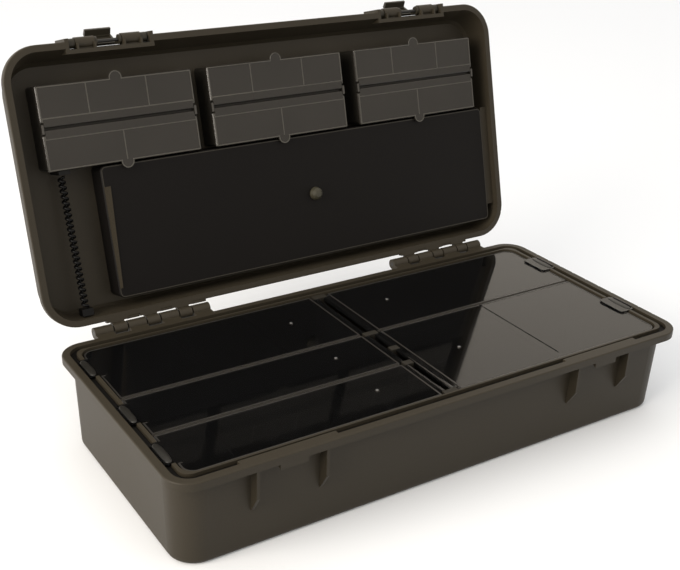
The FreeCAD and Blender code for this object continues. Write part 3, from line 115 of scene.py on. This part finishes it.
def moulded_grain():
    """Fine spark-eroded grain of moulded plastic with a faint cloudy tone."""
    tree, entry, leave = make_group(
        "moulded grain",
        [
            ("Tone", COLOR, (0.05, 0.05, 0.04, 1)),
            ("Shade", COLOR, (0.04, 0.04, 0.03, 1)),
            ("Grain size", FLOAT, FINE_GRAIN),
            ("Grain depth", FLOAT, GRAIN_DEPTH),
            ("Gloss", FLOAT, 0.5),
            ("Gloss change", FLOAT, GLOSS_CHANGE),
        ],
        [("Color", COLOR), ("Roughness", FLOAT), ("Normal", NORMAL)],
    )
    add = tree.nodes.new
    place = add("ShaderNodeTexCoord")
    grain = noise(tree, place, GRAIN_DETAIL)
    wire(tree, entry.outputs["Grain size"], grain.inputs["Scale"])
    cloud = noise(tree, place, CLOUD_DETAIL)
    cloud.inputs["Scale"].default_value = CLOUD_SCALE
    blend = add("ShaderNodeMix")
    blend.data_type = "RGBA"
    wire(tree, cloud.outputs["Fac"], blend.inputs["Factor"])
    wire(tree, entry.outputs["Shade"], blend.inputs["A"])
    wire(tree, entry.outputs["Tone"], blend.inputs["B"])
    speck = add("ShaderNodeMapRange")
    for limit, start, end in zip(("Min", "Max"), SPECK_FROM, SPECK_TO):
        speck.inputs["From " + limit].default_value = start
        speck.inputs["To " + limit].default_value = end
    wire(tree, grain.outputs["Fac"], speck.inputs["Value"])
    tint = add("ShaderNodeVectorMath")
    tint.operation = "SCALE"
    wire(tree, blend.outputs["Result"], tint.inputs[0])
    wire(tree, speck.outputs["Result"], tint.inputs["Scale"])
    wire(tree, tint.outputs["Vector"], leave.inputs["Color"])
    span = add("ShaderNodeMath")
    span.operation = "MULTIPLY_ADD"
    wire(tree, cloud.outputs["Fac"], span.inputs[0])
    wire(tree, entry.outputs["Gloss change"], span.inputs[1])
    wire(tree, entry.outputs["Gloss"], span.inputs[2])
    wire(tree, span.outputs["Value"], leave.inputs["Roughness"])
    bump = add("ShaderNodeBump")
    bump.inputs["Distance"].default_value = GRAIN_HEIGHT
    wire(tree, grain.outputs["Fac"], bump.inputs["Height"])
    wire(tree, entry.outputs["Grain depth"], bump.inputs["Strength"])
    wire(tree, bump.outputs["Normal"], leave.inputs["Normal"])
    return tree


grain_group = moulded_grain()


def new_material(name):
    material = bpy.data.materials.new(name)
    material.use_nodes = True
    return material, material.node_tree, material.node_tree.nodes["Principled BSDF"]


def grained(name, tone, shade, gloss, change, depth, size):
    """A material whose colour, gloss and normal come from the shared grain."""
    material, tree, shader = new_material(name)
    grain = tree.nodes.new("ShaderNodeGroup")
    grain.node_tree = grain_group
    values = {
        "Tone": (*tone, 1),
        "Shade": (*shade, 1),
        "Gloss": gloss,
        "Gloss change": change,
        "Grain depth": depth,
        "Grain size": size,
    }
    for label, value in values.items():
        grain.inputs[label].default_value = value
    wire(tree, grain.outputs["Color"], shader.inputs["Base Color"])
    wire(tree, grain.outputs["Roughness"], shader.inputs["Roughness"])
    wire(tree, grain.outputs["Normal"], shader.inputs["Normal"])
    return material, shader


def plastic(name, tone, shade, gloss, depth=GRAIN_DEPTH, size=FINE_GRAIN, specular=0.5):
    material, shader = grained(name, tone, shade, gloss, GLOSS_CHANGE, depth, size)
    shader.inputs["Specular IOR Level"].default_value = specular
    return material


CLEAR_GLOSS_CHANGE = 0.05
CLEAR_GRAIN_DEPTH, CLEAR_GRAIN_SIZE = 0.004, 14.0
CLEAR_SHADE = 0.92
CLEAR_IOR = 1.49


def clear_plastic(name, tint, rough, through, specular=0.5, glint=(1.0, 1.0, 1.0)):
    shade = [CLEAR_SHADE * value for value in tint]
    material, shader = grained(
        name, tint, shade, rough, CLEAR_GLOSS_CHANGE, CLEAR_GRAIN_DEPTH, CLEAR_GRAIN_SIZE
    )
    shader.inputs["Transmission Weight"].default_value = through
    shader.inputs["IOR"].default_value = CLEAR_IOR
    shader.inputs["Metallic"].default_value = 0.0
    shader.inputs["Specular IOR Level"].default_value = specular
    shader.inputs["Specular Tint"].default_value = (*glint, 1)
    return material


olive = plastic(
    "olive shell plastic", (0.040, 0.0325, 0.0215), (0.034, 0.0275, 0.018), 0.42, specular=0.22
)
# A darker, shaded copy of the olive shell plastic, for every part the table below does not name:
# painted shade.
olive_painted_shade_walls = plastic(
    "olive walls in painted shade", (0.030, 0.026, 0.020), (0.024, 0.021, 0.016), 0.5, specular=0.2
)
latch_plastic = plastic(
    "latch plastic", (0.030, 0.0255, 0.017), (0.026, 0.022, 0.0145), 0.38, specular=0.3
)
board_plastic = plastic(
    "rig board plastic", (0.0065, 0.0055, 0.005), (0.005, 0.0042, 0.0038), 0.5,
    depth=0.1, specular=0.12,
)
# Lighter olive ring round the black board's face: a painted edge highlight.
board_painted_lip_highlight = plastic(
    "rig board painted lip highlight", (0.030, 0.026, 0.018), (0.025, 0.021, 0.015), 0.4, depth=0.1, specular=0.3
)
knob_plastic = plastic(
    "knob plastic", (0.05, 0.045, 0.03), (0.042, 0.038, 0.025), 0.3, depth=0.05, specular=0.3
)
seal_rubber = plastic(
    "seal rubber", (0.0055, 0.0045, 0.0035), (0.004, 0.0034, 0.003), 0.6, specular=0.15
)
strip_foam = plastic(
    "brown edge strip", (0.046, 0.037, 0.023), (0.038, 0.030, 0.019), 0.7,
    depth=0.4, size=900.0, specular=0.2,
)
spring_black = plastic(
    "black spring wire", (0.0025, 0.0025, 0.0028), (0.002, 0.002, 0.0022), 0.35,
    depth=0.05, specular=0.2,
)
pin_steel = plastic(
    "blackened pin steel", (0.012, 0.011, 0.010), (0.009, 0.0085, 0.008), 0.35, depth=0.05
)
smoked = clear_plastic(
    "smoked cover plastic", (0.075, 0.077, 0.082), 0.03, 0.96, glint=(1.0, 0.93, 0.84)
)
# Lighter band round each cover's top face: a painted edge highlight.
smoked_painted_edge_highlight = plastic(
    "smoked cover painted edge highlight", (0.038, 0.0345, 0.030), (0.029, 0.0265, 0.023), 0.25,
    depth=0.1, specular=0.4,
)
box_plastic = plastic(
    "smoky box plastic", (0.020, 0.0175, 0.014), (0.012, 0.011, 0.009), 0.3,
    depth=0.05, specular=0.2,
)
box_lid_plastic = clear_plastic(
    "clear box lid plastic", (0.040, 0.035, 0.029), 0.10, 0.30, specular=0.25
)
clip_glass = plastic(
    "clip pad plastic", (0.026, 0.024, 0.0205), (0.014, 0.013, 0.011), 0.26,
    depth=0.3, size=500.0, specular=0.35,
)
# Bright dots on the covers' gates, far lighter than the cover plastic: painted glints.
gate_glint = plastic(
    "painted gate glint", (0.17, 0.165, 0.155), (0.13, 0.125, 0.12), 0.2, depth=0.1, specular=0.8
)
# Light colour of the half lids' edges and moulded lines: a painted highlight.
box_painted_edge_highlight = plastic(
    "clear box painted edge highlight", (0.080, 0.073, 0.060), (0.065, 0.059, 0.048), 0.3, depth=0.1, specular=0.4
)
# Lighter tops of the boxes' webs than the tray plastic: a painted highlight.
box_painted_web_highlight = plastic(
    "clear box painted web top highlight", (0.060, 0.054, 0.045), (0.048, 0.043, 0.036), 0.35, depth=0.1, specular=0.4
)

# The first beginning that fits a node's name gives its material.
FINISHES = (
    ("tub_shell", olive),
    ("lid_shell", olive),
    ("rim_seal", seal_rubber),
    ("rig_board", board_plastic),
    ("board_knob", knob_plastic),
    ("board_edge_strip", strip_foam),
    ("rig_spring", spring_black),
    ("spring_anchor", spring_black),
    ("cover_pin", pin_steel),
    ("hinge_pin", pin_steel),
    ("box_hinge_pin", pin_steel),
    ("latch_pin", pin_steel),
    ("cover_", smoked),
    ("box_tray", box_plastic),
    ("box_lid", box_lid_plastic),
    ("latch_", latch_plastic),
    # Every part not named above takes the darker olive copy: painted shade.
    ("", olive_painted_shade_walls),
)
for name, item in nodes.items():
    finish = next(finish for start, finish in FINISHES if name.startswith(start))
    item.data.materials.clear()
    item.data.materials.append(finish)

# Directions of the open lid and tolerances for reading flat faces, in metres.
LID_LEAN = math.radians(15.3)
UP = Vector((0, 0, 1))
INTO_VIEW = Vector((0, -math.cos(LID_LEAN), math.sin(LID_LEAN)))
UP_THE_LID = Vector((0, math.sin(LID_LEAN), math.cos(LID_LEAN)))
FLAT_COSINE = 0.9995
SAME_LEVEL = 0.00006
FACE_SLACK, CORNER_SLACK = 1.5 * SAME_LEVEL, 2 * SAME_LEVEL
MERGE_WITHIN = 0.00001
MERGE_ANGLE = 0.002


def add_piece(name, made, finish, body, smooth=True):
    """Turn a finished bmesh into an object that rides on a body."""
    bmesh.ops.recalc_face_normals(made, faces=made.faces[:])
    if smooth:
        for face in made.faces:
            face.smooth = True
    mesh = bpy.data.meshes.new(name)
    made.to_mesh(mesh)
    made.free()
    mesh.materials.append(finish)
    item = bpy.data.objects.new(name, mesh)
    bpy.context.scene.collection.objects.link(item)
    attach(item, body)
    return item


def placed_copy(node):
    """A bmesh of a node's mesh, at the node's place."""
    made = bmesh.new()
    made.from_mesh(nodes[node].data)
    made.transform(nodes[node].matrix_world)
    made.normal_update()
    return made


def flat_faces(made, facing):
    return [face for face in made.faces if face.normal.dot(facing) > FLAT_COSINE]


def face_level(flat, facing, outermost=False):
    """Level of the largest of the flat faces, or of the outermost, along the way that they face."""
    areas = {}
    for face in flat:
        step = round(face.calc_center_median().dot(facing) / SAME_LEVEL)
        areas[step] = areas.get(step, 0.0) + face.calc_area()
    step = max(areas) if outermost else max(areas, key=areas.get)
    return step * SAME_LEVEL


def drop_inside(made, rim):
    """Delete the faces whose middle is further in than the rim, seen from above."""
    lows = [min(vert.co[axis] for vert in made.verts) for axis in (0, 1)]
    highs = [max(vert.co[axis] for vert in made.verts) for axis in (0, 1)]
    inside = []
    for face in made.faces:
        middle = face.calc_center_median()
        gaps = [min(middle[axis] - lows[axis], highs[axis] - middle[axis]) for axis in (0, 1)]
        if min(gaps) > rim:
            inside.append(face)
    bmesh.ops.delete(made, geom=inside, context="FACES")


def lip_piece(name, node, body, facing, height, finish, width=None, rim=None):
    """A thin lip round a node's largest flat face, or without a width over its outermost one."""
    made = placed_copy(node)
    flat = flat_faces(made, facing)
    level = face_level(flat, facing, outermost=width is None)
    chosen = {
        face
        for face in flat
        if abs(face.calc_center_median().dot(facing) - level) < FACE_SLACK
    }
    others = [face for face in made.faces if face not in chosen]
    bmesh.ops.delete(made, geom=others, context="FACES")
    bmesh.ops.remove_doubles(made, verts=made.verts[:], dist=MERGE_WITHIN)
    bmesh.ops.dissolve_limit(
        made, angle_limit=MERGE_ANGLE, verts=made.verts[:], edges=made.edges[:]
    )
    if width:
        inner = made.faces[:]
        bmesh.ops.inset_region(
            made, faces=inner, thickness=width, use_even_offset=True, use_boundary=True
        )
        bmesh.ops.delete(made, geom=inner, context="FACES")
    if rim:
        drop_inside(made, rim)
    grown = bmesh.ops.extrude_face_region(made, geom=made.faces[:])
    moved = [item for item in grown["geom"] if isinstance(item, bmesh.types.BMVert)]
    bmesh.ops.translate(made, verts=moved, vec=facing * height)
    add_piece(name, made, finish, body, smooth=False)


# Raised edges of the covers, half lids and board, and the tops of the boxes' hinge spines, each in
# a lighter colour than its part: painted edge highlights.
COVER_LIP_WIDE, COVER_LIP_HIGH, COVER_RIM = 0.0011, 0.00012, 0.003
BOX_LIP_WIDE, BOX_LIP_HIGH = 0.0008, 0.00015
BOARD_LIP_WIDE, BOARD_LIP_HIGH = 0.0007, 0.00012


def is_cover(node):
    return node.startswith("cover_") and not node.startswith("cover_pin")


for node in nodes:
    if is_cover(node):
        lip_piece(
            node + "_lip", node, node + "_body", UP,
            COVER_LIP_HIGH, smoked_painted_edge_highlight, width=COVER_LIP_WIDE, rim=COVER_RIM,
        )
    elif node.startswith("box_lid"):
        lip_piece(
            node + "_lip", node, node + "_body", INTO_VIEW,
            BOX_LIP_HIGH, box_painted_edge_highlight, width=BOX_LIP_WIDE,
        )
    elif node.startswith("box_tray"):
        lip_piece(
            node + "_web_tops", node, "lid", INTO_VIEW, BOX_LIP_HIGH, box_painted_web_highlight
        )
    elif node == "rig_board":
        lip_piece(
            node + "_lip", node, "lid", INTO_VIEW,
            BOARD_LIP_HIGH, board_painted_lip_highlight, width=BOARD_LIP_WIDE,
        )

# Moulded lines up the half lids, over the partitions of the boxes under them, in the light edge
# colour: painted highlights.
LINE_HALF = 0.0004
LINE_HEIGHT = 0.00012
LINE_SINK = 0.0002
LINE_MARGIN = 0.0008
TAB_CLEAR = 0.015
UPPER_PARTITION = 0.0215
BRICK_FACES = (
    (0, 1, 3, 2), (4, 6, 7, 5), (0, 4, 5, 1), (2, 3, 7, 6), (0, 2, 6, 4), (1, 5, 7, 3)
)


def moulded_line(name, node, middle, across):
    """A fine raised line up a half lid."""
    plate = placed_copy(node)
    level = face_level(flat_faces(plate, INTO_VIEW), INTO_VIEW)
    away = [
        vert.co.dot(UP_THE_LID)
        for vert in plate.verts
        if abs(vert.co.dot(INTO_VIEW) - level) < CORNER_SLACK
        and abs(vert.co.x - middle) > TAB_CLEAR
    ]
    plate.free()
    made = bmesh.new()
    corners = []
    for side in (-1, 1):
        foot = Vector((middle + across + side * LINE_HALF, 0, 0))
        for up in (min(away) + LINE_MARGIN, max(away) - LINE_MARGIN):
            for rise in (-LINE_SINK, LINE_HEIGHT):
                corner = foot + UP_THE_LID * up + INTO_VIEW * (level + rise)
                corners.append(made.verts.new(corner))
    for face in BRICK_FACES:
        made.faces.new([corners[index] for index in face])
    add_piece(name, made, box_painted_edge_highlight, node + "_body", smooth=False)


for node in [name for name in nodes if name.startswith("box_lid")]:
    low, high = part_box(node)
    middle = (low[0] + high[0]) / 2
    places = (-UPPER_PARTITION, UPPER_PARTITION) if "upper" in node else (0.0,)
    for number, place in enumerate(places):
        moulded_line("%s_line_%d" % (node, number + 1), node, middle, place)


def skin_rings(made, rings):
    """Join rings of vertices side by side and close both ends."""
    for low, high in zip(rings, rings[1:]):
        for turn in range(len(low)):
            after = (turn + 1) % len(low)
            made.faces.new((low[turn], low[after], high[after], high[turn]))
    made.faces.new(rings[-1])
    made.faces.new(list(reversed(rings[0])))


# Finger pads on the clips, and light domes on the covers' gates as painted glints.
PAD_SIDES = 32
PAD_SQUARENESS = 0.6
PAD_PROFILE = ((1.0, 0.0), (0.97, 0.55), (0.86, 0.85), (0.6, 0.97))
PAD_HALF_LONG, PAD_HALF_WIDE = 0.0112, 0.0029
PAD_HIGH, PAD_SINK = 0.0011, 0.0006
CLIP_TIP_IN = 0.0036
CLIP_TIP_BAND = 0.0002
CLIP_REACH = 0.004
CLIP_CEILING = 0.0655
GATE_ROUND = 0.0010
GATE_HIGH, GATE_SINK = 0.0004, 0.0002
GATE_FROM_TIP = 0.02


def pad(name, centre, half_long, half_wide, height, finish, body):
    """A low oval pad with a domed top, lying along Y."""
    made = bmesh.new()
    rings = []
    for share, level in PAD_PROFILE:
        ring = []
        for turn in range(PAD_SIDES):
            angle = 2 * math.pi * turn / PAD_SIDES
            reach = abs(math.sin(angle)) ** PAD_SQUARENESS * math.copysign(1, math.sin(angle))
            ring.append(made.verts.new((
                centre[0] + half_wide * share * math.cos(angle),
                centre[1] + (half_long - half_wide * (1 - share)) * reach,
                centre[2] + height * level,
            )))
        rings.append(ring)
    skin_rings(made, rings)
    add_piece(name, made, finish, body)


def plate_top(mesh):
    """Height of the level that holds most of a cover's upward area."""
    levels = {}
    for face in mesh.polygons:
        level = round(face.center.z / SAME_LEVEL)
        area = face.area if face.normal.z > FLAT_COSINE else 0.0
        levels[level] = levels.get(level, 0.0) + area
    return max(levels, key=levels.get) * SAME_LEVEL


for node in [name for name in nodes if is_cover(name)]:
    item = nodes[node]
    points = [item.matrix_world @ vert.co for vert in item.data.vertices]
    side = 1 if "right" in node else -1
    tip = max(point.x * side for point in points)
    clip_ys = [point.y for point in points if point.x * side > tip - CLIP_TIP_BAND]
    clip_top = max(
        point.z
        for point in points
        if abs(point.x * side - tip) < CLIP_REACH and point.z < CLIP_CEILING
    )
    clip_centre = (
        side * (tip - CLIP_TIP_IN),
        (max(clip_ys) + min(clip_ys)) / 2,
        clip_top - PAD_SINK,
    )
    pad(
        node + "_finger_pad", clip_centre, PAD_HALF_LONG, PAD_HALF_WIDE, PAD_HIGH,
        clip_glass, node + "_body",
    )
    above_plate = plate_top(item.data) + SAME_LEVEL
    above = [
        point
        for point in points
        if point.z > above_plate and point.x * side < tip - GATE_FROM_TIP
    ]
    if above:
        gate = sum(above, Vector()) / len(above)
        gate_centre = (gate.x, gate.y, max(point.z for point in above) - GATE_SINK)
        pad(
            node + "_painted_gate_glint", gate_centre, GATE_ROUND, GATE_ROUND, GATE_HIGH,
            gate_glint, node + "_body",
        )

# Webs that narrow the slots between the hinge arms, placed by the hinge axis of the closed lid.
HINGE_AXIS = Vector((0, 0.102, 0.065))
LID_OPENING = math.radians(105.3)
OPENED = Matrix.Rotation(-LID_OPENING, 4, "X")
WEB_IN, WEB_OUT, WEB_OUT_LEFT = -0.0066, -0.0049, -0.0044
WEB_LOW, WEB_HIGH = 0.0016, 0.0050
WEB_ROUND = 0.0003
WEB_PLACES = {
    "hinge_web_left_inner": (-0.0928, -0.0818),
    "hinge_web_left_middle": (-0.1183, -0.1084),
    "hinge_web_left_outer": (-0.1435, -0.1337),
    "hinge_web_right_middle": (0.1084, 0.1183),
    "hinge_web_right_outer": (0.1337, 0.1435),
}
for name, (web_left, web_right) in WEB_PLACES.items():
    web_out = WEB_OUT_LEFT if web_left < 0 else WEB_OUT
    made = bmesh.new()
    bmesh.ops.create_cube(made, size=1.0)
    for vert in made.verts:
        vert.co = Vector((
            web_left if vert.co.x < 0 else web_right,
            WEB_IN if vert.co.y < 0 else web_out,
            WEB_LOW if vert.co.z < 0 else WEB_HIGH,
        ))
    bmesh.ops.bevel(
        made, geom=made.edges[:], offset=WEB_ROUND, segments=2, profile=0.5, affect="EDGES"
    )
    bmesh.ops.transform(
        made, matrix=Matrix.Translation(HINGE_AXIS) @ OPENED, verts=made.verts[:]
    )
    add_piece(name, made, olive, "lid")

# Coiled rig spring between its two anchors.
COILS = 24
COIL_STEPS = 20
COIL_RADIUS = 0.00175
COIL_END_CLEAR = 0.0035
WIRE_RADIUS = 0.00105
WIRE_SIDES = 8


def box_middle(node):
    low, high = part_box(node)
    return (Vector(low) + Vector(high)) / 2


def coiled_spring():
    start, end = box_middle("spring_anchor_low"), box_middle("spring_anchor_high")
    along = (end - start).normalized()
    across = along.cross(INTO_VIEW).normalized()
    out = across.cross(along).normalized()
    coiled = (end - start).length - 2 * COIL_END_CLEAR
    rise = along * coiled / (2 * math.pi * COILS)
    steps = COILS * COIL_STEPS
    made = bmesh.new()
    rings = []
    for step in range(steps + 1):
        share = step / steps
        angle = 2 * math.pi * COILS * share
        radial = across * math.cos(angle) + out * math.sin(angle)
        around = out * math.cos(angle) - across * math.sin(angle)
        centre = start + along * (COIL_END_CLEAR + coiled * share) + radial * COIL_RADIUS
        tangent = (rise + around * COIL_RADIUS).normalized()
        binormal = tangent.cross(radial).normalized()
        ring = []
        for turn in range(WIRE_SIDES):
            phase = 2 * math.pi * turn / WIRE_SIDES
            way = radial * math.cos(phase) + binormal * math.sin(phase)
            ring.append(made.verts.new(centre + way * WIRE_RADIUS))
        rings.append(ring)
    skin_rings(made, rings)
    item = add_piece("rig_spring_coils", made, spring_black, "lid")
    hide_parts("rig_spring")


coiled_spring()

# White floor, bright backdrop and one soft light from the left.
FLOOR_HALF = 6.0
FLOOR_UNSEEN, FLOOR_SEEN = 0.15, 0.95
FLOOR_ROUGHNESS, FLOOR_GLINT = 0.9, 0.1
BACKDROP_UNSEEN, BACKDROP_SEEN = 0.95, 1.0
MIRRORED_BACKDROP = (1.0, 0.93, 0.83, 1)
SOFTBOX_PLACE, SOFTBOX_TARGET = (-1.7, -0.2, 0.8), (0, 0, 0.1)
SOFTBOX_SIDE = 1.2
SOFTBOX_POWER = 34
SOFTBOX_COLOR = (1.0, 0.935, 0.84)


def larger(tree, first, second):
    item = tree.nodes.new("ShaderNodeMath")
    item.operation = "MAXIMUM"
    wire(tree, first, item.inputs[0])
    wire(tree, second, item.inputs[1])
    return item.outputs["Value"]


def seen_or_mirrored(tree, path):
    return larger(tree, path.outputs["Is Camera Ray"], path.outputs["Is Glossy Ray"])


def tone_switch(tree, factor, off, on):
    item = tree.nodes.new("ShaderNodeMix")
    item.data_type = "RGBA"
    item.inputs["A"].default_value = off
    item.inputs["B"].default_value = on
    wire(tree, factor, item.inputs["Factor"])
    return item.outputs["Result"]


def studio_floor():
    paint, tree, shader = new_material("studio floor white")
    path = tree.nodes.new("ShaderNodeLightPath")
    tones = [(*[value] * 3, 1) for value in (FLOOR_UNSEEN, FLOOR_SEEN)]
    wire(tree, tone_switch(tree, seen_or_mirrored(tree, path), *tones), shader.inputs["Base Color"])
    shader.inputs["Roughness"].default_value = FLOOR_ROUGHNESS
    shader.inputs["Specular IOR Level"].default_value = FLOOR_GLINT
    mesh = bpy.data.meshes.new("studio_floor")
    made = bmesh.new()
    bmesh.ops.create_grid(made, x_segments=1, y_segments=1, size=FLOOR_HALF)
    made.to_mesh(mesh)
    made.free()
    mesh.materials.append(paint)
    floor = bpy.data.objects.new("studio_floor", mesh)
    bpy.context.scene.collection.objects.link(floor)


def studio_backdrop():
    world = bpy.data.worlds.new("studio")
    bpy.context.scene.world = world
    world.use_nodes = True
    tree = world.node_tree
    background = tree.nodes["Background"]
    path = tree.nodes.new("ShaderNodeLightPath")
    seen = larger(tree, seen_or_mirrored(tree, path), path.outputs["Is Transmission Ray"])
    strength = tree.nodes.new("ShaderNodeMapRange")
    strength.inputs["To Min"].default_value = BACKDROP_UNSEEN
    strength.inputs["To Max"].default_value = BACKDROP_SEEN
    wire(tree, seen, strength.inputs["Value"])
    wire(tree, strength.outputs["Result"], background.inputs["Strength"])
    tone = tone_switch(tree, path.outputs["Is Glossy Ray"], (1, 1, 1, 1), MIRRORED_BACKDROP)
    wire(tree, tone, background.inputs["Color"])


def left_softbox():
    data = bpy.data.lights.new("left_softbox", "AREA")
    data.shape = "RECTANGLE"
    data.size = data.size_y = SOFTBOX_SIDE
    data.energy = SOFTBOX_POWER
    data.color = SOFTBOX_COLOR
    light = bpy.data.objects.new("left_softbox", data)
    light.location = SOFTBOX_PLACE
    aim = Vector(SOFTBOX_TARGET) - Vector(SOFTBOX_PLACE)
    light.rotation_mode = "QUATERNION"
    light.rotation_quaternion = aim.to_track_quat("-Z", "Y")
    bpy.context.scene.collection.objects.link(light)


studio_floor()
studio_backdrop()
left_softbox()
bpy.context.scene.view_settings.view_transform = "Standard"
